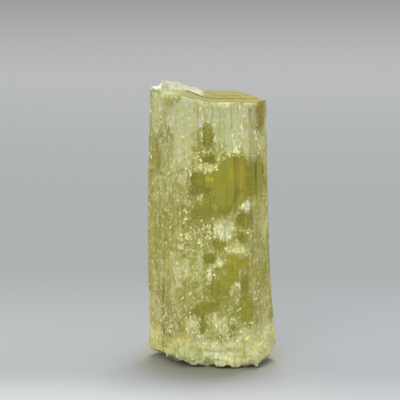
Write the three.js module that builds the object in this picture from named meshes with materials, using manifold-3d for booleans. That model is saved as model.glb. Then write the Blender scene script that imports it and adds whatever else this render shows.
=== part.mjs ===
// A heliodor: one prismatic crystal of yellow-green beryl, standing on its broken end.
// It is a hexagonal prism with upright growth ribs and low terraces on its side faces, a flat end face
// with a broken ridge left standing on its back left corner, and a hackly, chipped foot.
//
// Units are millimetres. +Z runs up the prism and -Y is the front. The origin is on the surface that
// the crystal stands on, below the middle of its box.

import * as THREE from "three";
import { mergeVertices } from "three/addons/utils/BufferGeometryUtils.js";
import Module from "manifold-3d";

const wasm = await Module();
wasm.setup();

// Driving dimensions
const PRISM_HEIGHT = 33.7; // foot to the flat end face
const PRISM_DEPTH = 12.3; // front face to back face
const HALF_DEPTH = PRISM_DEPTH / 2;
const HALF_WIDTH = 7.87; // middle to the left and right corners, halfway up
const RIDGE_HEIGHT = 2.1; // the broken ridge, above the flat end face
const STOCK_BELOW = 2.5; // extra length of the prism that the broken foot cuts away
const OUTSIDE = 2; // how far the cuts reach out past the prism's faces

// The prism's corners seen from above, counterclockwise from the left corner. Neighbouring faces
// meet at 120 degrees, as they do on beryl, but the faces are not equally wide.
const CORNERS = [
  [-HALF_WIDTH, 0.6],
  [-3.97, -HALF_DEPTH],
  [5.3, -HALF_DEPTH],
  [HALF_WIDTH, -1.7],
  [3.35, HALF_DEPTH],
  [-4.65, HALF_DEPTH],
].map(([x, y]) => new THREE.Vector2(x, y));
const [LEFT_FRONT, FRONT, RIGHT_FRONT, RIGHT_BACK, BACK, LEFT_BACK] = CORNERS.keys(); // the side faces

// How wide the prism is at each height, as a share of its width halfway up. It narrows towards the
// end face, and its right side spreads near the foot.
const LEFT_SPREAD = [[-3, 0.968], [8, 0.99], [20, 1], [26, 0.985], [34, 0.945]];
const RIGHT_SPREAD = [[-3, 1.14], [2.5, 1.132], [5.5, 1.09], [10, 1.035], [17, 1], [34, 0.94]];

// Growth ribs
const RIB_PITCH = 0.8; // mean width of a rib
const RIB_DEPTH = 0.32; // deepest that a rib lies behind its face
const RIB_RISER = 0.05; // sideways run of the small step between two ribs
const EDGE_KEPT = 0.25; // how near the ribs come to the prism's upright edges
const RIB_LEVELS = 11; // heights at which a rib's depth is set anew

// Seeded random numbers from 0 to 1, the same on every run (mulberry32).
function randomFrom(seed) {
  let state = seed;
  return () => {
    state = (state + 0x6d2b79f5) | 0;
    let t = Math.imul(state ^ (state >>> 15), 1 | state);
    t = (t + Math.imul(t ^ (t >>> 7), 61 | t)) ^ t;
    return ((t ^ (t >>> 14)) >>> 0) / 4294967296;
  };
}

const between = (random, low, high) => low + (high - low) * random();
const smooth = THREE.MathUtils.smoothstep;

// Straight lines through [at, value] pairs.
function along(pairs, at) {
  if (at <= pairs[0][0]) return pairs[0][1];
  for (let i = 1; i < pairs.length; i++) {
    const [x0, y0] = pairs[i - 1];
    const [x1, y1] = pairs[i];
    if (at <= x1) return y0 + ((y1 - y0) * (at - x0)) / (x1 - x0);
  }
  return pairs[pairs.length - 1][1];
}

// A three.js geometry as a solid.
function solidOf(geometry) {
  const bare = geometry.clone();
  bare.deleteAttribute("normal");
  bare.deleteAttribute("uv");
  const merged = mergeVertices(bare, 1e-5);
  return new wasm.Manifold(
    new wasm.Mesh({
      numProp: 3,
      vertProperties: merged.attributes.position.array,
      triVerts: new Uint32Array(merged.index.array),
    }),
  );
}

function geometryOf(solid) {
  const mesh = solid.getMesh();
  const geometry = new THREE.BufferGeometry();
  geometry.setAttribute("position", new THREE.BufferAttribute(mesh.vertProperties, 3));
  geometry.setIndex(new THREE.BufferAttribute(mesh.triVerts, 1));
  return geometry.toNonIndexed();
}

// A closed solid from rings of points, all with the same number of them, the lowest ring first.
function loft(rings) {
  const size = rings[0].length;
  const positions = rings.flat().flatMap((p) => [p.x, p.y, p.z]);
  const index = [];
  for (let level = 0; level + 1 < rings.length; level++) {
    for (let i = 0; i < size; i++) {
      const j = (i + 1) % size;
      const [a, b] = [level * size + i, level * size + j];
      index.push(a, b, b + size, a, b + size, a + size);
    }
  }
  const top = (rings.length - 1) * size;
  const flat = rings[0].map((p) => new THREE.Vector2(p.x, p.y));
  for (const [a, b, c] of THREE.ShapeUtils.triangulateShape(flat, [])) index.push(a, c, b);
  const lid = rings[rings.length - 1].map((p) => new THREE.Vector2(p.x, p.y));
  for (const [a, b, c] of THREE.ShapeUtils.triangulateShape(lid, [])) index.push(top + a, top + b, top + c);
  const geometry = new THREE.BufferGeometry();
  geometry.setAttribute("position", new THREE.Float32BufferAttribute(positions, 3));
  geometry.setIndex(index);
  return geometry;
}

// A broken surface: a block under or over a jittered grid of flat triangles at height(x, y).
// The block reaches from that surface to the level `end`, which is wholly below or wholly above it.
function brokenBlock(low, high, cell, jitter, height, end, random) {
  const columns = Math.ceil((high.x - low.x) / cell);
  const rows = Math.ceil((high.y - low.y) / cell);
  const positions = [];
  const ends = [];
  for (let row = 0; row <= rows; row++) {
    for (let column = 0; column <= columns; column++) {
      const rim = row === 0 || column === 0 || row === rows || column === columns;
      const shift = rim ? 0 : jitter;
      const x = low.x + cell * column + between(random, -shift, shift);
      const y = low.y + cell * row + between(random, -shift, shift);
      positions.push(x, y, height(x, y));
      ends.push(x, y, end);
    }
  }
  const count = ends.length / 3;
  const over = end > positions[2];
  const index = [];
  const quad = (a, b, c, d) => {
    index.push(...(over ? [a, c, b, a, d, c] : [a, b, c, a, c, d]));
  };
  const at = (row, column) => row * (columns + 1) + column;
  for (let row = 0; row < rows; row++) {
    for (let column = 0; column < columns; column++) {
      const next = at(row + 1, column);
      const cellCorners = [at(row, column), at(row, column + 1), next + 1, next];
      if ((row + column) % 2) cellCorners.push(cellCorners.shift());
      const [a, b, c, d] = cellCorners;
      quad(a, b, c, d);
      quad(count + a, count + d, count + c, count + b);
    }
  }
  const rim = [];
  for (let column = 0; column < columns; column++) rim.push(at(0, column));
  for (let row = 0; row < rows; row++) rim.push(at(row, columns));
  for (let column = columns; column > 0; column--) rim.push(at(rows, column));
  for (let row = rows; row > 0; row--) rim.push(at(row, 0));
  rim.forEach((a, i) => {
    const b = rim[(i + 1) % rim.length];
    quad(a, count + a, count + b, b);
  });
  const geometry = new THREE.BufferGeometry();
  geometry.setAttribute("position", new THREE.Float32BufferAttribute([...positions, ...ends], 3));
  geometry.setIndex(index);
  return solidOf(geometry);
}

// Each face's frame: where it starts, its run, its length and its outward normal.
const FACES = CORNERS.map((start, i) => {
  const run = CORNERS[(i + 1) % CORNERS.length].clone().sub(start);
  const length = run.length();
  run.normalize();
  return { start, run, length, out: new THREE.Vector2(run.y, -run.x) };
});

// The prism's spread at a height, which moves a point of the outline sideways.
function spreadAt(point, z) {
  const share = along(point.x < 0 ? LEFT_SPREAD : RIGHT_SPREAD, z);
  return new THREE.Vector3(point.x * share, point.y * (1 + (share - 1) * 0.4), z);
}

// The ribs of one face: where each starts and ends, and how deep it lies at each height.
function ribsOf(face, random) {
  const count = Math.round(face.length / RIB_PITCH);
  const widths = Array.from({ length: count }, () => between(random, 0.4, 1.7));
  const total = widths.reduce((sum, width) => sum + width, 0);
  let end = EDGE_KEPT;
  return widths.map((width) => {
    const start = end;
    end += (width / total) * (face.length - 2 * EDGE_KEPT);
    const mean = RIB_DEPTH * random() ** 1.3;
    const sway = between(random, 0.02, 0.13);
    const depth = () => Math.max(0.01, mean + between(random, -sway, sway));
    return { start, end, depths: Array.from({ length: RIB_LEVELS }, depth) };
  });
}

// The ribbed outline at a row of heights from the foot to the end face.
function ribbedRings() {
  const random = randomFrom(11);
  const faces = FACES.map((face) => ({ face, ribs: ribsOf(face, random) }));
  const rings = [];
  for (let level = 0; level < RIB_LEVELS; level++) {
    const z = -STOCK_BELOW + ((PRISM_HEIGHT + STOCK_BELOW) * level) / (RIB_LEVELS - 1);
    const ring = [];
    for (const { face, ribs } of faces) {
      ring.push(spreadAt(face.start, z));
      for (const rib of ribs) {
        for (const at of [rib.start + RIB_RISER, rib.end - RIB_RISER]) {
          const point = face.start.clone().addScaledVector(face.run, at);
          ring.push(spreadAt(point.addScaledVector(face.out, -rib.depths[level]), z));
        }
      }
    }
    rings.push(ring);
  }
  return rings;
}

// Terraces: long, slim and shallow steps with slanted ends, cut into the side faces.
const TERRACES = 42;
const TERRACE_WIDTH = [0.3, 1.3];
const TERRACE_HEIGHT = [3, 13];
const TERRACE_DEPTH = [0.12, 0.34];
const TERRACE_SLANT = 1.4; // most that one end of a terrace slants

function terraceCuts() {
  const random = randomFrom(5);
  return Array.from({ length: TERRACES }, (_, i) => {
    const face = FACES[i % FACES.length];
    const width = between(random, ...TERRACE_WIDTH);
    const tall = between(random, ...TERRACE_HEIGHT);
    const depth = between(random, ...TERRACE_DEPTH);
    const at = between(random, 0.1, 0.9) * face.length;
    const z = between(random, 2, PRISM_HEIGHT - 1);
    const slant = between(random, -TERRACE_SLANT, TERRACE_SLANT);
    const shape = new THREE.Shape();
    shape.moveTo(-width / 2, -tall / 2 + slant);
    shape.lineTo(width / 2, -tall / 2);
    shape.lineTo(width / 2 + between(random, -0.1, 0.1), tall / 2 - slant);
    shape.lineTo(-width / 2, tall / 2);
    const cut = new THREE.ExtrudeGeometry(shape, { depth: OUTSIDE, bevelEnabled: false });
    const middle = face.start.clone().addScaledVector(face.run, at);
    const floor = spreadAt(middle.addScaledVector(face.out, -depth), z);
    const across = new THREE.Vector3(face.run.x, face.run.y, 0);
    const out = new THREE.Vector3(face.out.x, face.out.y, 0);
    const frame = new THREE.Matrix4().makeBasis(across, new THREE.Vector3(0, 0, 1), out);
    cut.applyMatrix4(frame.setPosition(floor));
    return solidOf(cut);
  });
}

// A stretched egg of flat facets with a wavy surface, turned any way.
const EGG_WAVES = 3;
const EGG_WAVE_HEIGHT = 0.05; // of each wave, as a share of the egg's radius
const EGG_WAVE_PITCH = 5.5; // radians of a wave per radius

function wavyEgg(radius, fineness, random) {
  const vector = (low, high) => new THREE.Vector3(...[0, 1, 2].map(() => between(random, low, high)));
  const egg = new THREE.IcosahedronGeometry(radius, fineness);
  const waves = Array.from({ length: EGG_WAVES }, () => ({
    way: vector(-1, 1).setLength(EGG_WAVE_PITCH / radius),
    start: between(random, 0, 2 * Math.PI),
  }));
  const corners = egg.getAttribute("position");
  const corner = new THREE.Vector3();
  for (let i = 0; i < corners.count; i++) {
    corner.fromBufferAttribute(corners, i);
    const swell = waves.reduce((sum, { way, start }) => sum + Math.sin(way.dot(corner) + start), 0);
    corner.multiplyScalar(1 + EGG_WAVE_HEIGHT * swell);
    corners.setXYZ(i, ...corner);
  }
  const stretch = vector(0.75, 1.25);
  const turn = new THREE.Euler(...vector(0, 2 * Math.PI));
  egg.scale(...stretch);
  return egg.applyMatrix4(new THREE.Matrix4().makeRotationFromEuler(turn));
}

// A shell-shaped chip, bitten by an egg of about the given radius to the given depth below a surface
// point. The egg's facets are the flat facets of the break.
function chip({ point, out }, lift, radius, depth, random, fineness = 4) {
  const egg = wavyEgg(radius, fineness, random);
  const struck = out.clone().setZ(lift).normalize();
  const corners = egg.getAttribute("position");
  let reach = 0;
  for (let i = 0; i < corners.count; i++) {
    reach = Math.max(reach, -struck.dot(new THREE.Vector3().fromBufferAttribute(corners, i)));
  }
  const centre = point.clone().addScaledVector(struck, reach - depth);
  return solidOf(egg.translate(centre.x, centre.y, centre.z));
}

// A point of one side face, at a share of the way along it and at height z, with the face's
// outward direction.
function faceAt(index, share, z) {
  const face = FACES[index];
  const point = face.start.clone().addScaledVector(face.run, share * face.length);
  return { point: spreadAt(point, z), out: new THREE.Vector3(face.out.x, face.out.y, 0) };
}

// A point of the outline at a share of the way round it, at height z.
function outlineAt(share, z) {
  const perimeter = FACES.reduce((sum, face) => sum + face.length, 0);
  let left = (share - Math.floor(share)) * perimeter;
  let index = 0;
  while (left > FACES[index].length) left -= FACES[index++].length;
  return faceAt(index, left / FACES[index].length, z);
}

// Rows of chips round the prism: how many, their heights, how steeply they were struck (the rise of
// the blow's direction), their radii and the depths of their bites. The rows are at the foot's edge,
// above the foot and at the end face's edge.
const CHIP_ROWS = [
  { count: 24, z: [-0.5, 0.9], lift: [-0.9, -0.3], radius: [1.8, 3.4], depth: [0.25, 0.7] },
  { count: 22, z: [1.2, 4.0], lift: [-0.4, 0.1], radius: [1.6, 3.4], depth: [0.12, 0.4] },
  { count: 15, z: [33.5, 33.8], lift: [0.5, 1.3], radius: [0.7, 1.6], depth: [0.06, 0.22] },
];

function chipRows() {
  const random = randomFrom(23);
  return CHIP_ROWS.flatMap(({ count, z, lift, radius, depth }) =>
    Array.from({ length: count }, (_, i) => {
      const place = outlineAt((i + between(random, -0.35, 0.35)) / count, between(random, ...z));
      const size = between(random, ...radius);
      return chip(place, between(random, ...lift), size, between(random, ...depth), random);
    }),
  );
}

// Single larger breaks: the face, the share of the way along it, the height, the rise of the blow's
// direction, the radius and the depth of the bite.
const BREAKS = [
  { face: LEFT_FRONT, along: 0.66, z: 30.8, lift: 0.15, radius: 4.2, depth: 0.42 }, // by the ridge
  { face: LEFT_FRONT, along: 0.0, z: 0.6, lift: -0.8, radius: 4.4, depth: 1.1 }, // foot, left corner
  { face: FRONT, along: 0.02, z: 0.2, lift: -0.9, radius: 3.8, depth: 0.8 }, // foot, front left
  { face: FRONT, along: 0.55, z: 1.6, lift: -0.2, radius: 4.2, depth: 0.42 }, // middle of the front
  { face: RIGHT_FRONT, along: 0.05, z: 2.7, lift: 0, radius: 3.4, depth: 0.5 }, // right of the front
  { face: RIGHT_FRONT, along: 0.98, z: 1.2, lift: -0.6, radius: 4.4, depth: 1.0 }, // foot, right corner
  { face: RIGHT_FRONT, along: 0.3, z: -0.2, lift: -0.9, radius: 2.4, depth: 0.5 }, // foot, right
  { face: LEFT_FRONT, along: 0.06, z: 8.6, lift: 0, radius: 3.4, depth: 0.24 }, // slabs off the left edge
  { face: LEFT_FRONT, along: 0.2, z: 5.2, lift: 0, radius: 3.6, depth: 0.3 },
  { face: LEFT_BACK, along: 0.75, z: 17.5, lift: 0, radius: 4.2, depth: 0.24 }, // left side, halfway up
  { face: RIGHT_BACK, along: 0.1, z: 30.2, lift: 0, radius: 2.4, depth: 0.3 }, // right edge, high up
  { face: RIGHT_BACK, along: 0.6, z: 12.5, lift: 0, radius: 4.4, depth: 0.3 }, // back right
  { face: BACK, along: 0.4, z: 26.5, lift: 0.1, radius: 5.0, depth: 0.26 }, // back, high up
];

const BREAK_FINENESS = 6;

function breaks() {
  const random = randomFrom(31);
  return BREAKS.map(({ face, along: share, z, lift, radius, depth }) =>
    chip(faceAt(face, share, z), lift, radius, depth, random, BREAK_FINENESS),
  );
}

// How high the break at the foot rises at the prism's edge, by direction: [degrees, height].
const FOOT_RISE = [
  [-180, 1.3], [-125, 1.0], [-105, 0.3], [-28, 0.25], [-12, 1.9], [20, 1.6], [60, 0.9], [100, 1.2],
  [140, 1.9], [180, 1.3],
];
const FOOT_SUNK = 0.75; // how far the break dips below the surface, where it has worn to a flat foot
const FOOT_CELL = 0.95; // size of the break's facets
const FOOT_ROUGHNESS = 0.3;
const FOOT_LOW = new THREE.Vector2(-9.6, -7.4); // corners of the grid that the break is made on
const FOOT_HIGH = new THREE.Vector2(10.2, 7.6);
const BELOW = 30; // side of the block below the surface that the crystal stands on

// What is broken away under the crystal, down to the flat foot that it stands on.
function footWaste() {
  const random = randomFrom(47);
  const height = (x, y) => {
    const reach = Math.hypot(x / (HALF_WIDTH * 1.06), y / HALF_DEPTH);
    const rise = along(FOOT_RISE, THREE.MathUtils.radToDeg(Math.atan2(y, x)));
    const rough = between(random, -FOOT_ROUGHNESS, FOOT_ROUGHNESS);
    return -FOOT_SUNK + (rise + FOOT_SUNK) * smooth(reach, 0.35, 1.0) + rough * smooth(reach, 0.2, 0.6);
  };
  const end = -STOCK_BELOW - OUTSIDE;
  const broken = brokenBlock(FOOT_LOW, FOOT_HIGH, FOOT_CELL, FOOT_CELL / 3, height, end, random);
  const below = new THREE.BoxGeometry(BELOW, BELOW, BELOW).translate(0, 0, -BELOW / 2);
  return broken.add(solidOf(below));
}

// The ridge on the end face: [x, share of its full height] along its crest, seen from the front.
const CREST = [
  [-7.7, 0.3], [-6.9, 0.46], [-6.3, 0.88], [-5.8, 1], [-5.1, 0.9], [-4.2, 0.86], [-3.6, 0.72],
  [-2.9, 0.54], [-2.3, 0.36], [-1.6, 0.22], [-0.9, -0.1],
];
const CREST_INSET = 1.3; // the crest's distance in from the back edge
const RIDGE_SLOPE = 4.6; // run of the slope in front of the crest
const RIDGE_CELL = 0.68; // size of the ridge's facets
const RIDGE_ROUGHNESS = 0.24;
const RIDGE_LOW = new THREE.Vector2(-8.4, -6.8); // corners of the grid that the ridge is made on
const RIDGE_HIGH = new THREE.Vector2(-0.6, 7.2);
const END_ROOT = 1.3; // how deep the blocks that stand on the end face go down into the prism

function ridge() {
  const random = randomFrom(61);
  const height = (x, y) => {
    const back = Math.min(HALF_DEPTH, 0.6 + (x + HALF_WIDTH) * 1.73);
    const before = Math.max(0, back - CREST_INSET - y);
    const crest = along(CREST, x) * RIDGE_HEIGHT;
    const rough = between(random, -RIDGE_ROUGHNESS, RIDGE_ROUGHNESS);
    const fall = 1 - 0.95 * smooth(before, 0, RIDGE_SLOPE);
    const sink = 0.5 * smooth(before, 0.7 * RIDGE_SLOPE, RIDGE_SLOPE * 1.3);
    return PRISM_HEIGHT + crest * fall - sink + rough;
  };
  const root = PRISM_HEIGHT - END_ROOT;
  return brokenBlock(RIDGE_LOW, RIDGE_HIGH, RIDGE_CELL, RIDGE_CELL / 3, height, root, random);
}

// Low plates on the end face: the last growth layers, each a polygon with edges along the prism's.
const END_PLATES = [
  { middle: [1.9, 1.2], size: 0.62, thick: 0.2 },
  { middle: [2.6, 1.7], size: 0.36, thick: 0.36 },
];

function endPlates() {
  return END_PLATES.map(({ middle, size, thick }) => {
    const outline = CORNERS.map(([x, y]) => new THREE.Vector2(middle[0] + x * size, middle[1] + y * size));
    const profile = new THREE.Shape(outline);
    const plate = new THREE.ExtrudeGeometry(profile, { depth: thick + END_ROOT, bevelEnabled: false });
    return solidOf(plate.translate(0, 0, PRISM_HEIGHT - END_ROOT));
  });
}

// What stands on the end face, cut back to the outline of that face.
const END_KEPT_IN = 0.995; // share of the outline that is kept

function endGrowth(outline) {
  const levels = [PRISM_HEIGHT - 0.1, PRISM_HEIGHT + 2 * RIDGE_HEIGHT];
  const room = levels.map((z) => outline.map((p) => p.clone().multiplyScalar(END_KEPT_IN).setZ(z)));
  return [ridge(), ...endPlates()].reduce((whole, piece) => whole.add(piece)).intersect(solidOf(loft(room)));
}

// The bevel along the front edge of the end face: a block laid over that edge.
const BEVEL = 0.42; // run of the bevel across the end face
const BEVEL_SLOPE = THREE.MathUtils.degToRad(38);
const BEVEL_LENGTH = 12;
const BEVEL_MIDDLE = 2.5; // where along the edge it lies

function frontBevel() {
  const block = new THREE.BoxGeometry(BEVEL_LENGTH, 2 * OUTSIDE, 2 * OUTSIDE);
  block.translate(0, -OUTSIDE, OUTSIDE);
  block.rotateX(-BEVEL_SLOPE);
  const edge = spreadAt(new THREE.Vector2(0, -HALF_DEPTH), PRISM_HEIGHT);
  block.translate(BEVEL_MIDDLE, edge.y + BEVEL, PRISM_HEIGHT);
  return solidOf(block);
}

const SLIVER = 0.04; // facets narrower than this are closed up

function heliodor() {
  const rings = ribbedRings();
  const grown = solidOf(loft(rings)).add(endGrowth(rings[rings.length - 1]));
  const lost = [...terraceCuts(), frontBevel(), ...chipRows(), ...breaks(), footWaste()];
  const waste = lost.reduce((whole, piece) => whole.add(piece));
  const parts = grown.subtract(waste).decompose();
  const crystal = parts.sort((a, b) => b.volume() - a.volume())[0];
  return crystal.simplify(SLIVER);
}

// The crystal's surface in yellow-green, with its box centred over the origin.
const geometry = geometryOf(heliodor());
geometry.computeBoundingBox();
const middle = geometry.boundingBox.getCenter(new THREE.Vector3());
geometry.translate(-middle.x, -middle.y, -geometry.boundingBox.min.z);
geometry.computeVertexNormals();

const yellowGreen = new THREE.MeshStandardMaterial({ color: 0xb4b063, roughness: 0.3, metalness: 0 });
const crystal = new THREE.Mesh(geometry, yellowGreen);
crystal.name = "heliodor_crystal";

const heliodorGroup = new THREE.Group();
heliodorGroup.add(crystal);

export default heliodorGroup;
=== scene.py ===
import math
import random

import bmesh
import bpy
import numpy as np
from mathutils import Euler, Matrix, Vector, noise
from mathutils.bvhtree import BVHTree


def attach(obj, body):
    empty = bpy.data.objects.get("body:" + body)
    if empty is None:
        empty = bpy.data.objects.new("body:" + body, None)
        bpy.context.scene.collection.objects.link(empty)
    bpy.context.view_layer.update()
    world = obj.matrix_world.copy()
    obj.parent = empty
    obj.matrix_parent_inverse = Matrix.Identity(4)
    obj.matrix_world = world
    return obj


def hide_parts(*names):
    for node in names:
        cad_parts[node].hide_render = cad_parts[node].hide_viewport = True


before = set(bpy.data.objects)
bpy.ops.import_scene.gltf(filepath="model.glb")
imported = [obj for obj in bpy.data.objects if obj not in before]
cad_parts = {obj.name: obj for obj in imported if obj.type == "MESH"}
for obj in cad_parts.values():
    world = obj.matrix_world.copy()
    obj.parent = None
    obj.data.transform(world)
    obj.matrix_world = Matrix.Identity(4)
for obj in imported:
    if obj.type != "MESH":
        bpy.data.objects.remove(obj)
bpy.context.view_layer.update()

MM = 0.001

# The crystal stands upright with its front towards -y. All places and sizes on it are in
# millimetres.
FOOT_TOP = 4.6  # how high the fractured foot reaches
RIGHT_FOOT_RISE = 1.3  # how much higher it reaches on the right
END_FACE = 33.6  # height of the flat end face
RIDGE_TOP = 35.87  # height of the broken ridge on it
RIDGE_BASE = (END_FACE + 0.1, END_FACE + 0.4)  # the ridge sets in between these heights
RIDGE_END = (-1.8, -0.9)  # and fades out to the right, between these places on x

# How far the end face is raised: the first value right of the first x, rising to the second value
# at the second x. Right of LOWERED_FROM it is lowered again, by up to LOWERED at LOWERED_TO.
RAISED = (0.4, 1.15)
RAISED_FROM, RAISED_TO = 0.5, -4.0
LOWERED_FROM, LOWERED_TO, LOWERED = 3.5, 6.5, 0.25
TILT = 0.03  # how much the end face rises to the back, per millimetre

# Clear places in the crystal, seen from the front: centre x and z, half width and half height,
# lean in degrees, how clear and how golden the place is.
CLEAR_PLACES = [
    (1.3, 24.0, 3.5, 2.1, 8, 1.6, 0.2),
    (3.5, 25.2, 1.2, 2.7, 0, 1.4, 0.95),
    (2.2, 22.0, 1.6, 1.4, -15, 1.2, 0.3),
    (5.7, 24.6, 1.0, 2.3, 0, 0.8, 0.35),
    (-0.6, 29.9, 0.6, 1.5, 5, 0.6, 0.6),
    (-0.1, 26.9, 0.7, 0.5, 0, 0.45, 0.2),
    (-0.9, 20.4, 1.4, 0.9, -10, 0.9, 0.1),
    (1.4, 20.2, 0.8, 0.6, 0, 0.7, 0.1),
    (3.9, 16.8, 0.8, 0.7, 0, 0.9, 0.2),
    (4.0, 18.9, 0.9, 1.0, 0, 0.7, 0.3),
    (1.0, 16.0, 0.7, 0.6, 0, 0.9, 0.2),
    (-0.3, 14.2, 0.8, 0.7, 0, 0.9, 0.0),
    (3.3, 13.6, 1.7, 1.1, -20, 1.0, 0.6),
    (0.6, 10.3, 1.2, 1.0, 20, 1.1, 0.05),
    (2.0, 11.4, 1.0, 0.6, 20, 0.6, 0.3),
    (4.2, 10.9, 0.7, 1.1, 0, 0.8, 0.0),
    (-1.2, 7.6, 1.8, 0.8, 12, 1.1, 0.15),
    (4.5, 7.5, 0.8, 1.6, 0, 0.7, 0.35),
    (-1.1, 5.6, 0.4, 0.8, 0, 0.9, 0.3),
    (-2.6, 9.2, 0.8, 1.0, 0, 0.35, 0.3),
    (6.1, 32.2, 0.6, 2.0, 0, 0.9, 0.95),
    (6.3, 11.6, 0.8, 2.4, 0, 0.4, 0.4),
    (-6.2, 14.9, 1.0, 1.3, 0, 0.3, 0.8),
    (-6.7, 27.2, 0.7, 2.8, 0, 0.35, 0.9),
    (-6.2, 8.8, 1.0, 1.0, 0, 0.4, 0.8),
]

# Pale places: centre x and z, half width and half height, how veiled, how white and how much painted
# sparkle the place has, glints painted into its colour.
PALE_PLACES = [
    (2.9, 30.2, 1.3, 1.9, 0.35, 0.45, 0.6),
    (-2.9, 33.1, 0.6, 0.6, 0.5, 0.7, 1.0),
    (-5.0, 31.0, 0.6, 0.7, 0.4, 0.3, 0.9),
    (3.9, 21.3, 1.3, 0.8, 0.9, 0.7, 0.8),
    (1.6, 18.0, 1.1, 1.1, 0.6, 0.55, 0.7),
    (-0.2, 12.1, 0.25, 1.0, 0.9, 0.6, 0.9),
    (0.9, 13.8, 0.7, 0.5, 0.5, 0.25, 1.0),
    (-0.4, 25.7, 1.2, 0.5, 1.4, 0.15, 1.0),
    (-1.2, 22.3, 1.1, 0.6, 0.4, 0.1, 0.8),
    (3.0, 27.9, 1.2, 0.5, 0.4, 0.1, 0.9),
    (-3.3, 26.5, 1.3, 5.5, 0.4, 0.3, 0.1),
    (-4.3, 12.8, 1.3, 1.8, 0.35, 0.25, 0.4),
    (-3.0, 17.3, 0.6, 0.6, 0.2, 0.1, 1.0),
    (2.7, 15.4, 1.0, 0.4, 0.3, 0.0, 0.9),
    (2.9, 10.2, 0.8, 0.8, 0.4, 0.35, 0.5),
    (0.9, 6.1, 1.6, 1.2, 0.5, 0.25, 0.7),
    (-2.4, 5.9, 0.7, 0.6, 0.5, 0.2, 0.9),
    (5.4, 3.2, 2.6, 2.6, 0.6, 0.05, 0.0),
    (4.6, 4.6, 0.7, 0.6, 0.6, 0.2, 0.7),
    (0.4, 2.2, 2.2, 1.0, 0.4, 0.4, 0.6),
    (5.9, 28.5, 0.8, 1.0, 0.1, 0.1, 0.7),
    (-0.6, 32.2, 5.0, 1.7, 0.3, 0.2, 0.1),
    (-0.7, 24.9, 0.5, 0.5, 0.35, 0.0, 0.0),
]

# Small golden glows on the front: centre x and z, half width and half height, share of wobble and
# softness of the edge.
GOLDEN_GLOWS = [
    (-4.0, 3.4, 1.3, 1.0, 1.0, 0.6),
    (1.1, 18.1, 0.3, 0.7, 0.4, 0.5),
]

CLEAR_SOFT = 0.5  # how soft the edges of the clear places are
PALE_SOFT = 0.6  # and of the pale places
# The fourth zone is painted sparkle: glints painted into the colour.
ZONES_LEAST = (-0.6, 0.0, 0.0, 0.0)  # veiled, white, golden and sparkling
ZONES_MOST = (1.4, 1.0, 1.0, 1.0)


# Places on the crystal


def between(low, high, value):
    """0 below low, 1 above high and a smooth rise from one to the other."""
    share = np.clip((value - low) / (high - low), 0.0, 1.0)
    return share * share * (3 - 2 * share)


def swirl(points, size, seed, depth=3):
    """Cloudy noise from about -1 to 1 with features of the given size, at each point."""
    shift = Vector((seed, 2.3 * seed, -1.7 * seed))
    return np.array([noise.fractal(Vector(point) / size + shift, 1.0, 2.0, depth) for point in points])


def inside_of(points, centre, halves, lean, wobble, soft):
    """1 inside an oval place and 0 outside it, with an edge that is soft as given."""
    turn = math.radians(lean)
    dx = points[:, 0] - centre[0]
    dz = points[:, 2] - centre[1]
    across = (dx * math.cos(turn) + dz * math.sin(turn)) / halves[0]
    up = (dz * math.cos(turn) - dx * math.sin(turn)) / halves[1]
    return 1 - between(1 - soft, 1 + soft, np.hypot(across, up) + wobble)


def right_side(points):
    """How much higher the broken foot reaches on the right."""
    return RIGHT_FOOT_RISE * between(2.0, 4.5, points[:, 0])


def ridge_share(points):
    """1 on the broken ridge on the end face, 0 elsewhere."""
    return between(*RIDGE_BASE, points[:, 2]) * (1 - between(*RIDGE_END, points[:, 0]))


def zones_at(points):
    """How veiled, white and golden the crystal is at each point, and how much painted sparkle it has."""
    x, y, height = points.T
    wobble = 0.45 * swirl(points, 1.3, 4.0, 5)
    veiled = 0.66 + 0.5 * swirl(points * (1, 1, 0.6), 4.0, 1.0)
    white = np.maximum(0.0, 0.2 * swirl(points, 3.0, 7.0))
    golden = 0.1 + 0.2 * swirl(points, 5.0, 9.0) + 0.5 * between(4.2, 6.5, np.abs(x + 0.4))
    # Painted sparkle: how much of the glints on the fractures is painted into the colour.
    painted_sparkle = 1.1 * swirl(points, 2.4, 14.0)
    painted_sparkle = painted_sparkle - 0.4 * between(-4.5, -6.5, x) - 0.5 * between(4.8, 5.8, x)
    for place_x, place_z, half_wide, half_high, lean, clear, gold in CLEAR_PLACES:
        inside = inside_of(points, (place_x, place_z), (half_wide, half_high), lean, wobble, CLEAR_SOFT)
        veiled -= clear * inside
        white *= 1 - inside
        golden += (gold - golden) * inside
        painted_sparkle *= 1 - inside
    for place_x, place_z, half_wide, half_high, veil, whiteness, painted_sparks in PALE_PLACES:
        inside = inside_of(points, (place_x, place_z), (half_wide, half_high), 0, 1.5 * wobble, PALE_SOFT)
        veiled += veil * inside
        white += (whiteness - white) * inside
        painted_sparkle += (painted_sparks - painted_sparkle) * inside

    foot = 1 - between(0.5 * FOOT_TOP, 1.2 * FOOT_TOP, height + 1.5 * wobble - right_side(points))
    hem = 1 - between(0.8, 2.2, height + wobble)
    crown = between(26.0, 31.0, height + 2 * wobble)
    ridge = ridge_share(points)
    veiled += 0.5 * foot + 0.2 * crown + 1.5 * ridge
    white += 0.05 * foot + 0.3 * hem + 0.2 * crown + 0.4 * ridge
    golden *= (1 - 0.6 * foot) * (1 - ridge) * (1 - 0.8 * crown * (x < 4.5))
    for place_x, place_z, half_wide, half_high, unrest, soft in GOLDEN_GLOWS:
        glow = inside_of(points, (place_x, place_z), (half_wide, half_high), 0, unrest * wobble, soft)
        golden += glow * (y < 0)
    painted_sparkle -= 0.25 * crown
    return np.clip(np.stack((veiled, white, golden, painted_sparkle), axis=1), ZONES_LEAST, ZONES_MOST)


def rough_share(points):
    """How roughly broken the surface is at each point: 0 on the grown faces."""
    height = points[:, 2]
    wobble = 0.9 * swirl(points, 2.5, 12.0)
    foot = 1 - between(2.2, FOOT_TOP, height + wobble - right_side(points))
    foot *= between(0.02, 0.3, height)
    return np.maximum(foot, ridge_share(points))


# Shader wiring


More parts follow.
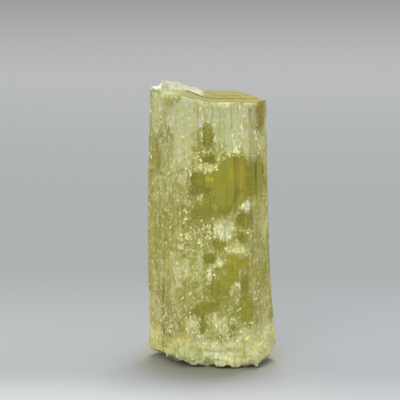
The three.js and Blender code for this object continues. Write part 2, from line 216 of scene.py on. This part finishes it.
class Wire:
    """A socket's value. An expression on wires adds the Math nodes that work it out."""

    def __init__(self, tree, socket):
        self.tree = tree
        self.socket = socket

    def reckon(self, operation, *values):
        node = self.tree.nodes.new("ShaderNodeMath")
        node.operation = operation
        for port, value in zip(node.inputs, values):
            plug(self.tree, value, port)
        return Wire(self.tree, node.outputs[0])

    def __add__(self, other):
        return self.reckon("ADD", self, other)

    def __radd__(self, other):
        return self.reckon("ADD", other, self)

    def __sub__(self, other):
        return self.reckon("SUBTRACT", self, other)

    def __rsub__(self, other):
        return self.reckon("SUBTRACT", other, self)

    def __mul__(self, other):
        return self.reckon("MULTIPLY", self, other)

    def __rmul__(self, other):
        return self.reckon("MULTIPLY", other, self)


def plug(tree, value, port):
    """Links a wire to a port, or sets the port to a plain value."""
    if isinstance(value, Wire):
        tree.links.new(value.socket, port)
    else:
        port.default_value = value


class Finish:
    """A material and the nodes in it. Lengths in it are in millimetres."""

    def __init__(self, name):
        self.material = bpy.data.materials.new(name)
        self.material.use_nodes = True
        self.tree = self.material.node_tree
        self.tree.nodes.clear()
        self.output = self.tree.nodes.new("ShaderNodeOutputMaterial")

    def add(self, kind, settings=None, values=None, out=0):
        """Adds a node: its settings first, then the values or wires of its ports."""
        node = self.tree.nodes.new(kind)
        for name, setting in (settings or {}).items():
            setattr(node, name, setting)
        for port, value in (values or {}).items():
            plug(self.tree, value, node.inputs[port])
        return Wire(self.tree, node.outputs[out])

    def split(self, kind, value):
        """The wires of all outputs of a node that takes a colour or a vector apart."""
        first = self.add(kind, None, {0: value})
        return [Wire(self.tree, socket) for socket in first.socket.node.outputs]

    def attribute(self, name, out):
        """A value that the mesh carries at its points."""
        return self.add("ShaderNodeAttribute", {"attribute_name": name}, out=out)

    def vector(self, operation, values, out=0):
        return self.add("ShaderNodeVectorMath", {"operation": operation}, values, out)

    def place(self):
        """The point on the piece."""
        point = self.add("ShaderNodeTexCoord", out="Object")
        return self.vector("SCALE", {0: point, "Scale": 1 / MM})

    def stretched(self, point, *scales):
        return self.vector("MULTIPLY", {0: point, 1: scales})

    def grain(self, point, scale, detail=2.0, roughness=0.5, warp=0.0):
        """Noise about 0.5, with the given number of features per millimetre."""
        values = {"Vector": point, "Scale": scale, "Detail": detail, "Roughness": roughness}
        return self.add("ShaderNodeTexNoise", None, values | {"Distortion": warp})

    def shards(self, point, scale):
        """A chance value about 0.5 for each shard, with the given number of shards per millimetre."""
        return self.add("ShaderNodeTexVoronoi", None, {"Vector": point, "Scale": scale}, out="Color")

    def cracks(self, point, scale):
        """How far the nearest crack is, in a network with the given number of cells per millimetre."""
        values = {"Vector": point, "Scale": scale}
        return self.add("ShaderNodeTexVoronoi", {"feature": "DISTANCE_TO_EDGE"}, values)

    def bent(self, point, scale, reach):
        """The point, softly shifted at random by up to about the given reach."""
        values = {"Vector": point, "Scale": scale, "Detail": 2.0}
        shift = self.add("ShaderNodeTexNoise", None, values, out="Color")
        centred = self.vector("SUBTRACT", {0: shift, 1: (0.5, 0.5, 0.5)})
        return self.vector("ADD", {0: point, 1: self.vector("SCALE", {0: centred, "Scale": 2 * reach})})

    def rise(self, value, low, high, start=0.0, end=1.0):
        """From start to end as the value goes from low to high."""
        values = {"Value": value, "From Min": low, "From Max": high, "To Min": start, "To Max": end}
        return self.add("ShaderNodeMapRange", {"interpolation_type": "SMOOTHSTEP"}, values)

    def blend(self, factor, one, other):
        """One colour where the factor is 0 and the other where it is 1."""
        return self.add("ShaderNodeMix", {"data_type": "RGBA"}, {0: factor, 6: one, 7: other}, out=2)

    def bump(self, height, distance):
        """A normal from a height of 0 to 1 that stands for the given distance."""
        return self.add("ShaderNodeBump", None, {"Height": height, "Distance": distance * MM})

    def principled(self, **values):
        ports = {name.replace("_", " "): value for name, value in values.items()}
        return self.add("ShaderNodeBsdfPrincipled", None, ports)

    def finish(self, surface, volume=None):
        """Wires the shaders to the output and gives the material."""
        plug(self.tree, surface, self.output.inputs["Surface"])
        if volume:
            plug(self.tree, volume, self.output.inputs["Volume"])
        return self.material


def colour(red, green, blue):
    return (red, green, blue, 1.0)


# Finishes

HELIODOR_INDEX = 1.575  # refractive index of beryl
VEIL_INDEX = 1.4
FLAKE_INDEX = 1.5
ABSORPTION = {"Color": colour(0.93, 0.925, 0.15), "Density": 250.0}  # density per metre
RELIEF_DEPTH = 0.05

# Veils and body of the crystal
LEAF = colour(0.34, 0.345, 0.025)
OLIVE = colour(0.35, 0.33, 0.035)
STRAW = colour(0.48, 0.465, 0.09)
PALE = colour(0.61, 0.625, 0.27)
# Painted glints: a pale cream for the sparkles, standing for highlights on the fractures.
PAINTED_GLINT_CREAM = colour(0.88, 0.88, 0.48)
MILK = colour(0.64, 0.65, 0.52)
WARM_TINT = colour(0.66, 0.55, 0.17)
GREEN_TINT = colour(0.47, 0.54, 0.17)
GOLD = colour(0.50, 0.40, 0.005)
BRIGHT_GOLD = colour(0.60, 0.51, 0.02)
AMBER = colour(0.74, 0.58, 0.14)

# Light that comes through it. CLEAR_LOW is lighter than CLEAR_HIGH: painted light low down.
CLEAR_LOW = colour(0.97, 0.98, 0.55)
CLEAR_HIGH = colour(0.77, 0.78, 0.31)
CLEAR_GOLD = colour(0.92, 0.76, 0.02)
CLEAR_FOG = colour(1.0, 1.0, 0.9)

# End face and ridge, from left to right. The end face's tans are its own colour painted darker as shade.
END_LEFT = colour(0.30, 0.31, 0.14)
SHADED_TAN = colour(0.14, 0.135, 0.03)
SHADED_WARM_TAN = colour(0.19, 0.155, 0.03)
END_RIGHT = colour(0.23, 0.165, 0.025)
RIDGE_LEFT = colour(0.60, 0.62, 0.42)
RIDGE_DARK = colour(0.20, 0.20, 0.11)
RIDGE_LIGHT = colour(0.40, 0.40, 0.28)

# Fracture flakes
FLAKE_DULL = colour(0.84, 0.84, 0.62)
FLAKE_BRIGHT = colour(0.97, 0.97, 0.90)
GLINT = colour(0.96, 0.96, 0.90)

# Studio sheet: far from the crystal, round it and towards the camera. Its brightness from far to near
# is painted light; the lilac and the olive are painted shadow.
SHEET_BEHIND = colour(0.166, 0.176, 0.179)
SHEET_FAR = colour(0.225, 0.232, 0.228)
SHEET_GRAIN = colour(0.3, 0.31, 0.31)
SHEET_NEAR_DARK = colour(0.213, 0.223, 0.222)
SHEET_NEAR_LIGHT = colour(0.235, 0.247, 0.246)
SHEET_FRONT = colour(0.325, 0.337, 0.335)
SHEET_LILAC_SHADOW = colour(0.21, 0.215, 0.24)
SHEET_OLIVE_SHADOW = colour(0.21, 0.21, 0.13)


def end_face_lift(f, across):
    """How far the end face is raised, worked out by nodes."""
    raised = f.rise(across, RAISED_FROM, RAISED_TO, *RAISED)
    return raised - f.rise(across, LOWERED_FROM, LOWERED_TO, 0.0, LOWERED)


def crystal_finish():
    """Clear windows, cloudy veils, sparkles painted as glints, golden places, and the broken foot and
    ridge.
    """
    f = Finish("heliodor")
    point = f.place()
    across, _, height = f.split("ShaderNodeSeparateXYZ", point)
    veiled, white, golden = f.split("ShaderNodeSeparateColor", f.attribute("zones", "Color"))
    painted_sparkle = f.attribute("zones", "Alpha")
    broken = f.attribute("broken", "Fac")
    grown = 1 - broken

    # Patterns: soft clouds, small flecks, upright streaks and columns, shards and layered breaks
    clouds = f.grain(point, 0.9, detail=5.0, roughness=0.6, warp=0.5)
    flecks = f.grain(f.stretched(point, 1, 1, 0.75), 2.8, detail=4.0, roughness=0.7, warp=0.8)
    streaks = f.grain(f.stretched(point, 1, 1, 0.07), 2.8, detail=3.0, roughness=0.6) - 0.5
    columns = f.grain(f.stretched(point, 1, 1, 0.02), 0.8, detail=1.0) - 0.5
    lumps = f.grain(point, 0.75, warp=0.4)
    tint = f.grain(f.stretched(point, 1, 1, 0.5), 0.35, detail=3.0, roughness=0.6)
    bent = f.bent(point, 1.6, 0.5)
    layers = f.grain(f.stretched(bent, 0.25, 0.25, 1.5), 1.5, detail=3.0, roughness=0.6) - 0.5
    shards = f.shards(f.stretched(bent, 1, 1, 0.7), 5.2)
    slivers = f.shards(f.stretched(bent, 1, 1, 0.25), 6.0)
    cracks = f.cracks(f.stretched(bent, 1, 1, 0.8), 2.0)
    chance = shards * 0.5 + slivers * 0.5 + (flecks - 0.5) * 0.9
    lines = streaks * grown

    # The end face, the bevel below it and the ridge on it
    level = height - end_face_lift(f, across)
    end_face = f.rise(level, END_FACE - 0.04, END_FACE + 0.04) * grown
    bevel = f.rise(level, END_FACE - 0.6, END_FACE - 0.45) * (1 - end_face) * grown
    bevel = bevel * f.rise(clouds, 0.4, 0.65)
    ridge = f.rise(level, END_FACE - 0.3, END_FACE - 0.1) * broken

    # How foggy the crystal is, and the painted glints in the fog: sparkles painted in as highlight, and
    # crackle that is partly the pale colour of the cracks and partly painted highlight
    edge = veiled + (clouds - 0.5) * 0.9 + (flecks - 0.5) * 0.6 + lines * 0.35 + columns * 0.3
    rim = f.rise(edge, 0.3, 0.42) * f.rise(edge, 0.62, 0.46)
    fog = f.rise(edge, 0.12, 0.48)
    painted_glint = f.rise(chance + painted_sparkle * 0.17 + rim * 0.08, 0.74, 0.85) * fog
    crackled = f.rise(painted_sparkle + (clouds - 0.5) + (flecks - 0.5), 0.15, 0.7) * fog
    crackle = f.rise(cracks, 0.11, 0.03) * crackled
    painted_glint = f.rise(painted_glint + crackle * 0.45, 0.0, 1.0)

    # How much of the surface is veil, and how much is clear crystal. The clear places keep a little veil,
    # more of it low down, where it lifts them as painted light, as less light comes through from behind.
    window_veil_and_lift = f.rise(height, 26.0, 8.0, 0.15, 0.4)
    cover = window_veil_and_lift + (0.5 - window_veil_and_lift) * fog + f.rise(edge, 0.5, 1.1, 0.0, 0.2)
    cover = cover + golden * (1 - fog) * 0.2
    frosted = cover + painted_glint * 0.35 + f.rise(broken + (flecks - 0.5) * 0.8, 0.1, 0.8, 0.0, 0.25)

    # The veil's colour, from dark to pale by tone
    tone = clouds - 0.5 + columns * grown * 0.6 + lines * 0.9 + (flecks - 0.5) * 0.6
    tone = tone + layers * broken * 1.4 + (clouds - 0.5) * broken * 0.8 - broken * 0.08
    # Lighter right of x 4.6, and a pale line at x 5.4 on the front face's right edge: a painted
    # highlight.
    tone = tone + f.rise(across, 4.6, 5.6, 0.0, 0.12)
    tone = tone + f.rise(across, 5.15, 5.3) * f.rise(across, 5.6, 5.4) * 0.3
    tone = tone * (1 - broken * 0.4) + (chance - 0.5) * 0.45
    tone = tone + f.rise(edge, 0.4, 1.2, 0.05, 0.65) + white * 0.4
    body = f.blend(f.rise(tone, 0.0, 0.4), OLIVE, STRAW)
    body = f.blend(f.rise(tone, 0.35, 0.8), body, PALE)
    body = f.blend(f.rise(tint, 0.52, 0.68, 0.0, 0.4), body, WARM_TINT)
    body = f.blend(f.rise(tint, 0.5, 0.34, 0.0, 0.4), body, GREEN_TINT)
    body = f.blend(f.rise(white + (chance - 0.5) * 2.4, 0.15, 1.1), body, MILK)
    ochre = f.blend(f.rise(clouds + streaks, 0.35, 0.65), GOLD, BRIGHT_GOLD)
    shade = f.blend(fog, f.blend(golden, LEAF, ochre), f.blend(golden * 0.4, body, AMBER))
    # Painted glints: sparkles and crackle take a pale cream that stands for highlights.
    shade = f.blend(painted_glint, shade, PAINTED_GLINT_CREAM)

    # The end face and the ridge over it. The end face's tan is its own colour painted darker as shade,
    # so the top reads darker than the front under the top light.
    shaded_tan = f.blend(f.rise(clouds, 0.4, 0.65), SHADED_TAN, SHADED_WARM_TAN)
    shaded_tan = f.blend(f.rise(across, 0.5, 5.0, 0.0, 0.5), shaded_tan, END_RIGHT)
    shaded_tan = f.blend(f.rise(across, -6.0, -3.0), END_LEFT, shaded_tan)
    rubble = f.blend(flecks, RIDGE_DARK, RIDGE_LIGHT)
    rubble = f.blend(f.rise(across, -6.2, -6.8), rubble, RIDGE_LEFT)
    shade = f.blend(end_face * 0.9, shade, shaded_tan)
    shade = f.blend(bevel * 0.4, shade, PALE)
    shade = f.blend(ridge * 0.9, shade, rubble)

    # The clear places are tinted lighter low down: painted light, as less light comes through from
    # behind.
    depth = f.blend(f.rise(height, 12.0, 24.0), CLEAR_LOW, CLEAR_HIGH)
    light = f.blend(fog, f.blend(golden, depth, CLEAR_GOLD), CLEAR_FOG)
    relief = (flecks * 0.5 + chance * 0.3) * fog + lines * (fog * 0.65 + 0.05)
    relief = relief + broken * (lumps * 6.0 + layers * 2.5)
    normal = f.bump(relief, RELIEF_DEPTH)
    smear = f.rise(edge, 0.4, 1.0, 0.13, 0.3)

    clear = f.principled(
        Base_Color=light, Roughness=smear, IOR=HELIODOR_INDEX, Transmission_Weight=1.0, Normal=normal
    )
    veil = f.principled(Base_Color=shade, Roughness=end_face * 0.5 + 0.45, IOR=VEIL_INDEX, Normal=normal)
    share = frosted + end_face * 0.85 + bevel * 0.15
    surface = f.add("ShaderNodeMixShader", None, {0: share, 1: clear, 2: veil})
    return f.finish(surface, f.add("ShaderNodeVolumeAbsorption", None, ABSORPTION))


def flake_finish():
    """The pale flakes of the fracture veils."""
    f = Finish("fracture_veil")
    mottle = f.grain(f.place(), 1.4, detail=3.0)
    shade = f.blend(f.rise(mottle, 0.35, 0.65), FLAKE_DULL, FLAKE_BRIGHT)
    return f.finish(f.principled(Base_Color=shade, Roughness=0.25, IOR=FLAKE_INDEX))


def glint_finish():
    """The few flakes that mirror."""
    f = Finish("fracture_glint")
    return f.finish(f.principled(Base_Color=GLINT, Metallic=1.0, Roughness=0.3))


def floor_finish():
    """A pale sheet with painted light, lighter near the camera, and painted lilac and olive shadow."""
    f = Finish("studio_sheet")
    point = f.place()
    grain = f.grain(point, 1.2, detail=3.0)
    across, along, _ = f.split("ShaderNodeSeparateXYZ", point)
    # Painted light: darkest some way behind the crystal, lighter far off and lighter again near the
    # camera.
    far = f.blend(f.rise(along, 100.0, 500.0), SHEET_BEHIND, SHEET_FAR)
    far = f.blend(grain * 0.1, far, SHEET_GRAIN)
    near = f.blend(grain, SHEET_NEAR_DARK, SHEET_NEAR_LIGHT)
    shade = f.blend(f.rise(along, 60.0, 5.0), far, near)
    shade = f.blend(f.rise(along, -6.0, -22.0), shade, SHEET_FRONT)
    # Painted shadow: a lilac shade right of the crystal and in front of it.
    lilac_shadow = f.rise(across, -5.0, 25.0) * f.rise(along, 60.0, 0.0)
    shade = f.blend(lilac_shadow * 0.5, shade, SHEET_LILAC_SHADOW)
    # Painted shadow round the crystal's foot, olive as if lit through the crystal.
    reach = f.vector("LENGTH", {0: f.stretched(point, 1.15, 1, 1)}, out="Value")
    shade = f.blend(f.rise(reach, 14.0, 8.0, 0.0, 0.6), shade, SHEET_OLIVE_SHADOW)
    return f.finish(f.principled(Base_Color=shade, Roughness=0.85, Normal=f.bump(grain, RELIEF_DEPTH)))


# Modelling steps


def only(piece):
    """Selects a piece and nothing else."""
    bpy.ops.object.select_all(action="DESELECT")
    piece.select_set(True)
    bpy.context.view_layer.objects.active = piece


def points_of(mesh):
    """The mesh's points in millimetres."""
    return np.array([vertex.co for vertex in mesh.vertices]) / MM


def split_long_edges(longest, rounds):
    """Halves the edges in the edited mesh that are longer than longest says, in a few rounds."""
    bpy.ops.mesh.select_mode(type="EDGE")
    for _ in range(rounds):
        bpy.ops.mesh.select_all(action="DESELECT")
        mesh = bmesh.from_edit_mesh(bpy.context.object.data)
        for edge in mesh.edges:
            middle = (edge.verts[0].co + edge.verts[1].co) / 2
            if edge.calc_length() > longest(middle):
                edge.select = True
        bmesh.update_edit_mesh(bpy.context.object.data)
        bpy.ops.mesh.subdivide(number_cuts=1)
        bpy.ops.mesh.select_all(action="SELECT")
        bpy.ops.mesh.quads_convert_to_tris()


def select_points(inside):
    """Selects the edited mesh's points that lie inside, in millimetres."""
    bpy.ops.mesh.select_mode(type="VERT")
    bpy.ops.mesh.select_all(action="DESELECT")
    mesh = bmesh.from_edit_mesh(bpy.context.object.data)
    for vertex in mesh.verts:
        vertex.select = inside(vertex.co / MM)
    mesh.select_flush_mode()
    bmesh.update_edit_mesh(bpy.context.object.data)


def smooth_sideways(inside, times):
    """Evens out the upright ribs where the points lie inside, without a change of height."""
    select_points(inside)
    bpy.ops.mesh.vertices_smooth(factor=0.5, repeat=times, xaxis=True, yaxis=True, zaxis=False)


# The crystal

SPLIT_ROUNDS = 6  # how often the crystal's long edges are halved
FINE_EDGE = 0.32  # longest edge on the broken ends
LONG_EDGE = 0.8  # and on the grown faces
SHARP_ANGLE = 38  # degrees, from which an edge stays sharp
BREAKS = [("lumps", 1.3, 0.32), ("grit", 0.45, 0.14)]  # size and height of the rough relief
BREAK_LEVEL = 0.6  # share of that relief which is cut in

# Where the upright ribs are evened out, and in how many rounds
FOOT_FROM = 0.3
FACES_FROM, FACES_TO = FOOT_TOP + 1.5, END_FACE - 1.5
WINDOW_WIDE, WINDOW_HIGH = (-3.6, 4.2), (19.5, 28.5)
SMOOTH_FACES, SMOOTH_FOOT, SMOOTH_WINDOW, SMOOTH_PLATES = 6, 12, 40, 3

STEPS_FROM = (-1.4, -0.4)  # the growth plates set in between these places on x
STEP_SHARE = 0.5  # share of the plates' thickness that is taken off
PLATES_TOP = 0.6  # how far above the end face the plates are evened out
SLOPE_TOP = 0.35  # and the ridge's slope beside them
SLOPE_FROM = -4.2  # where that slope starts on x

# How the ridge's outline departs from the solid's: x and the change of height.
RIDGE_CHANGES = [
    (-7.7, 0.0),
    (-7.2, -0.45),
    (-6.9, -0.4),
    (-6.4, 0.25),
    (-5.4, 0.1),
    (-4.2, -0.2),
    (-3.1, -0.65),
    (-2.4, -0.75),
    (-1.6, -0.4),
    (-1.0, 0.0),
]
RIDGE_TEETH = 0.35  # height of the ridge's jagged teeth

# How the foot departs from the solid's: x, the change of height and the change of x.
FOOT_CHANGES = [
    (-8.0, -0.9, -0.1),
    (-7.2, -0.7, -0.1),
    (-6.2, -0.1, 0.0),
    (-5.2, 0.35, 0.0),
    (-4.2, 0.1, 0.0),
    (3.0, 0.0, 0.0),
    (5.0, 0.0, 0.35),
    (7.0, -0.1, 0.45),
    (8.0, -0.3, 0.2),
]


def shape_crown(mesh):
    """Lifts and tilts the end face with what lies just below it, and shapes the ridge."""
    points = points_of(mesh)
    x, y, z = points.T
    lift = RAISED[0] + (RAISED[1] - RAISED[0]) * between(RAISED_FROM, RAISED_TO, x)
    lift = lift - LOWERED * between(LOWERED_FROM, LOWERED_TO, x)
    stepped = between(*STEPS_FROM, x)
    lift = lift + TILT * (y + 6.0) * stepped
    lift *= between(END_FACE - 6.0, END_FACE - 0.3, z) * (1 - between(END_FACE + 0.6, RIDGE_TOP, z))
    lift -= STEP_SHARE * np.maximum(z - END_FACE, 0.0) * stepped
    change = np.interp(x, *zip(*RIDGE_CHANGES)) + RIDGE_TEETH * swirl(points, 0.6, 31.0)
    lift += change * between(END_FACE + 0.3, END_FACE + 1.2, z) * (1 - stepped)
    for vertex, rise in zip(mesh.vertices, lift * MM):
        vertex.co.z += rise


def shape_foot(mesh):
    """Brings the foot's lower left corner down and its lower right edge out."""
    points = points_of(mesh)
    places, rises, shifts = zip(*FOOT_CHANGES)
    low = 1 - between(1.8, FOOT_TOP, points[:, 2])
    rise = np.interp(points[:, 0], places, rises) * low
    shift = np.interp(points[:, 0], places, shifts) * low
    for vertex, up, out in zip(mesh.vertices, rise * MM, shift * MM):
        vertex.co.z = max(vertex.co.z + up, 0.0) if vertex.co.z > 0 else 0.0
        vertex.co.x += out


def longest_edge(at):
    """The longest edge that the crystal's mesh may have at a place, both in metres."""
    broken = at.z < FOOT_TOP * MM or at.z > RIDGE_BASE[0] * MM
    return (FINE_EDGE if broken else LONG_EDGE) * MM


def on_large_window(at):
    """Whether a place lies on the front face before the large clear window."""
    return WINDOW_WIDE[0] < at.x < WINDOW_WIDE[1] and at.y < 0 and WINDOW_HIGH[0] < at.z < WINDOW_HIGH[1]


def on_plates(at):
    """Whether a place lies on the growth plates or on the ridge's lowest slope beside them."""
    top = END_FACE + (PLATES_TOP if at.x > STEPS_FROM[0] else SLOPE_TOP)
    return at.x > SLOPE_FROM and END_FACE + 0.02 < at.z < top


def roughen(piece, shares):
    """Cuts the broken relief into the foot and the ridge."""
    broken = piece.vertex_groups.new(name="broken")
    for index, share in enumerate(shares):
        broken.add([index], float(share), "REPLACE")
    for name, size, height in BREAKS:
        texture = bpy.data.textures.new(name, "CLOUDS")
        texture.noise_scale = size * MM
        texture.noise_depth = 2
        rough = piece.modifiers.new(name, "DISPLACE")
        rough.texture = texture
        rough.texture_coords = "LOCAL"
        rough.vertex_group = "broken"
        rough.strength = height * MM
        rough.mid_level = BREAK_LEVEL
        bpy.ops.object.modifier_apply(modifier=name)
    piece.vertex_groups.clear()


def crystal_prism():
    """The whole crystal, from a copy of its solid."""
    source = bpy.data.objects["heliodor_crystal"]
    piece = bpy.data.objects.new("crystal_prism", source.data.copy())
    bpy.context.scene.collection.objects.link(piece)
    only(piece)
    bpy.ops.object.mode_set(mode="EDIT")
    bpy.ops.mesh.select_all(action="SELECT")
    bpy.ops.mesh.remove_doubles(threshold=1e-6)
    split_long_edges(longest_edge, SPLIT_ROUNDS)
    smooth_sideways(lambda at: FACES_FROM < at.z < FACES_TO, SMOOTH_FACES)
    smooth_sideways(lambda at: FOOT_FROM < at.z < FACES_FROM, SMOOTH_FOOT)
    smooth_sideways(on_large_window, SMOOTH_WINDOW)
    select_points(on_plates)
    bpy.ops.mesh.vertices_smooth(factor=0.5, repeat=SMOOTH_PLATES)
    bpy.ops.object.mode_set(mode="OBJECT")

    shares = rough_share(points_of(piece.data))
    roughen(piece, shares)
    for vertex in piece.data.vertices:
        vertex.co.z = max(vertex.co.z, 0.0)

    piece.data.attributes.new("broken", "FLOAT", "POINT").data.foreach_set("value", shares)
    zones = piece.data.attributes.new("zones", "FLOAT_COLOR", "POINT")
    for datum, values in zip(zones.data, zones_at(points_of(piece.data))):
        datum.color = values
    shape_crown(piece.data)
    shape_foot(piece.data)
    bpy.ops.object.shade_smooth_by_angle(angle=math.radians(SHARP_ANGLE))
    piece.data.materials.clear()
    piece.data.materials.append(crystal_finish())
    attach(piece, "root")
    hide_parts("heliodor_crystal")
    return piece


# The fracture veils inside the crystal: sheets of small flakes

VEILS = 260  # number of sheets
VEIL_SEED = 17
VEIL_CELLS = 14  # cells along one side of a sheet, two flakes in each
VEIL_CELL = 0.3  # size of a cell
VEIL_REACH = ((-7.5, 7.5), (-6.2, 6.2), (0.5, 33.2))  # where the sheets' middles lie
VEIL_MARGIN = 0.32  # room between a flake's middle and the crystal's surface
VEIL_JITTER = 0.18  # how far a sheet's points are shifted at random
VEIL_WAVE = 1.4  # how far a sheet departs from flat
VEIL_LEAST = 0.6  # flakes lie only where a place is more veiled than this
FLAKES_LEFT_OUT = 0.15  # share of those flakes that are left out
GLINTS = 0.02  # share of the flakes that mirror


def fracture_sheet():
    """One sheet of flakes round the origin, to copy."""
    bpy.ops.object.select_all(action="DESELECT")
    bpy.ops.mesh.primitive_grid_add(
        x_subdivisions=VEIL_CELLS, y_subdivisions=VEIL_CELLS, size=VEIL_CELLS * VEIL_CELL * MM
    )
    sheet = bpy.context.object
    bpy.ops.object.mode_set(mode="EDIT")
    bpy.ops.mesh.select_all(action="SELECT")
    bpy.ops.mesh.quads_convert_to_tris(quad_method="BEAUTY")
    bpy.ops.object.mode_set(mode="OBJECT")
    return sheet


def placed_sheet(sheet, number, chance):
    """A wavy copy of the sheet at a random place in the crystal."""
    copy = bpy.data.objects.new("fracture", sheet.data.copy())
    bpy.context.scene.collection.objects.link(copy)
    middle = Vector([chance.uniform(*reach) for reach in VEIL_REACH]) * MM
    tilt = Euler((chance.gauss(math.pi / 2, 0.7), chance.gauss(0, 0.5), chance.uniform(-1.2, 1.2)))
    turn = Matrix.LocRotScale(middle, tilt, Vector((1, 1, 1)) * chance.uniform(0.6, 1.2))
    shift = Vector((11.0 * number, 0, 0))
    for vertex in copy.data.vertices:
        flat = vertex.co / MM
        jitter = noise.noise_vector(flat * 3.1 + shift) * VEIL_JITTER
        wave = noise.fractal(flat * 0.35 + shift, 1.0, 2.0, 3) * VEIL_WAVE
        vertex.co = (flat + Vector((jitter.x, jitter.y, wave + jitter.z))) * MM
    copy.data.transform(turn)
    return copy


def is_inside(walls, point, margin):
    """Whether a point lies inside the closed walls, with some room to them."""
    for way in (Vector((1, 0, 0)), Vector((0, 1, 0)), Vector((0, 0, 1))):
        hit, normal, _, _ = walls.ray_cast(point, way)
        if hit is None or normal.dot(way) < 0:
            return False
    return walls.find_nearest(point)[3] > margin


def fracture_veils(prism):
    """All flakes that lie in the crystal's cloudy places, as one piece."""
    chance = random.Random(VEIL_SEED)
    sheet = fracture_sheet()
    copies = [placed_sheet(sheet, number, chance) for number in range(VEILS)]
    only(copies[0])
    for copy in copies:
        copy.select_set(True)
    bpy.ops.object.join()
    veils = bpy.context.object
    veils.name = "fracture_veils"
    bpy.data.objects.remove(sheet)

    bpy.ops.object.mode_set(mode="EDIT")
    bpy.ops.mesh.select_mode(type="FACE")
    bpy.ops.mesh.select_all(action="DESELECT")
    mesh = bmesh.from_edit_mesh(veils.data)
    middles = np.array([face.calc_center_median() for face in mesh.faces]) / MM
    veiled = zones_at(middles)[:, 0] + 0.9 * swirl(middles, 0.8, 21.0)
    walls = BVHTree.FromObject(prism, bpy.context.evaluated_depsgraph_get())
    for face, middle, share in zip(mesh.faces, middles, veiled):
        kept = share > VEIL_LEAST and chance.random() > FLAKES_LEFT_OUT
        kept = kept and is_inside(walls, Vector(middle) * MM, VEIL_MARGIN * MM)
        face.select = not kept
        face.material_index = int(chance.random() < GLINTS)
    bmesh.update_edit_mesh(veils.data)
    bpy.ops.mesh.delete(type="FACE")
    bpy.ops.object.mode_set(mode="OBJECT")
    for finish in (flake_finish(), glint_finish()):
        veils.data.materials.append(finish)
    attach(veils, "root")
    return veils


# Studio and camera, in metres

SHEET_SIZE = 6.0
# Name, place, the point it shines at, size and power in watts
SOFTBOXES = [
    ("front_softbox", (-0.16, -0.34, 0.3), (0, -0.02, 0.01), 0.3, 0.8),
    ("top_softbox", (0.06, 0.26, 1.0), (0, 0, 0.01), 0.36, 10.0),
]
AIR_COLOUR = (1.0, 1.0, 1.0, 1.0)
AIR_STRENGTH = 1.0
LENS_LENGTH = 141  # mm
SENSOR_WIDTH = 36  # mm
CAMERA_PLACE = (-0.0015, -0.2, 0.0534)
CAMERA_PITCH = 9.26  # degrees below level


def softbox(name, place, aim, size, power):
    light = bpy.data.lights.new(name, "AREA")
    light.shape = "SQUARE"
    light.size = size
    light.energy = power
    lamp = bpy.data.objects.new(name, light)
    lamp.location = place
    lamp.rotation_euler = (Vector(aim) - Vector(place)).to_track_quat("-Z", "Y").to_euler()
    bpy.context.scene.collection.objects.link(lamp)


def studio():
    bpy.ops.object.select_all(action="DESELECT")
    bpy.ops.mesh.primitive_plane_add(size=SHEET_SIZE, location=(0, 0, 0))
    floor = bpy.context.object
    floor.name = "studio_floor"
    floor.data.materials.append(floor_finish())
    for settings in SOFTBOXES:
        softbox(*settings)

    world = bpy.data.worlds.new("studio_air")
    bpy.context.scene.world = world
    world.use_nodes = True
    air = world.node_tree.nodes["Background"]
    air.inputs["Color"].default_value = AIR_COLOUR
    air.inputs["Strength"].default_value = AIR_STRENGTH


def camera():
    lens = bpy.data.cameras.new("camera")
    lens.lens = LENS_LENGTH
    lens.sensor_width = SENSOR_WIDTH
    lens.clip_start = 0.005
    view = bpy.data.objects.new("camera", lens)
    view.location = CAMERA_PLACE
    view.rotation_euler = (math.radians(90 - CAMERA_PITCH), 0, 0)
    bpy.context.scene.collection.objects.link(view)
    bpy.context.scene.camera = view


def light_paths(scene):
    """Lets light pass the crystal's many inner faces."""
    scene.view_settings.view_transform = "Standard"
    scene.cycles.max_bounces = 48
    scene.cycles.diffuse_bounces = 16
    scene.cycles.transmission_bounces = 32
    scene.cycles.glossy_bounces = 32
    scene.cycles.sample_clamp_indirect = 6.0


prism = crystal_prism()
fracture_veils(prism)
studio()
camera()
light_paths(bpy.context.scene)
